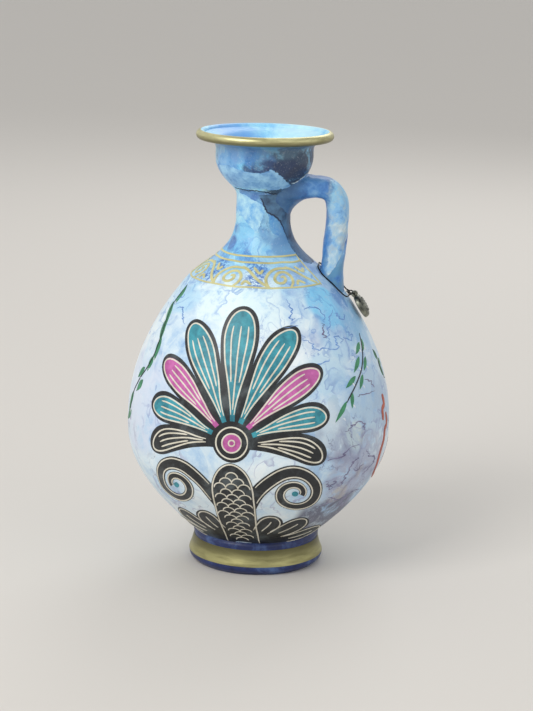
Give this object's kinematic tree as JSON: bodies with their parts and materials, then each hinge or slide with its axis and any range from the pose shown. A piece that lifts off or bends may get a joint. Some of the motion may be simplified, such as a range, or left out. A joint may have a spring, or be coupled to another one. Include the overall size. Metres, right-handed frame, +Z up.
{
  "type": "ceramic jug",
  "caption": "Hand-painted pear-bodied ceramic jug with a narrow neck, cupped mouth with gilded bead, strap handle and foot ring, and a medal hung on a wire loop.",
  "frame": {"origin": "centre of the standing face under the foot", "axes": "+Z up along the axis of the vessel, +X towards the handle, so the plane y = 0 runs through the handle"},
  "size_m": [0.181, 0.181, 0.3001],
  "materials": {
    "foot_glaze": "satin cobalt paint with a gold band",
    "body_glaze": "satin marbled pale blue",
    "neck_glaze": "satin marbled sky blue",
    "rim_gilding": "worn gold paint",
    "wire": "dark annealed wire",
    "medal": "antiqued pewter"
  },
  "bodies": {
    "jug": {"foot_ring": "foot_glaze", "lower_body": "body_glaze", "upper_body": "body_glaze", "neck_and_shoulder": "neck_glaze", "mouth_cup": "neck_glaze", "rim_bead": "rim_gilding", "strap_handle": "neck_glaze"},
    "wire": {"wire_loop": "wire"},
    "medal": {"seal_medal": "medal"}
  },
  "joints": [
    {"name": "wire_lift", "type": "hinge", "parent": "jug", "child": "wire", "pos_m": [0.03887, 0, 0.20968], "axis": [0, -1, 0], "range_deg": [0, 60]},
    {"name": "medal_swing", "type": "hinge", "parent": "wire", "child": "medal", "pos_m": [0.06385, 0, 0.19051], "axis": [0, -1, 0], "range_deg": [0, 90]}
  ]
}
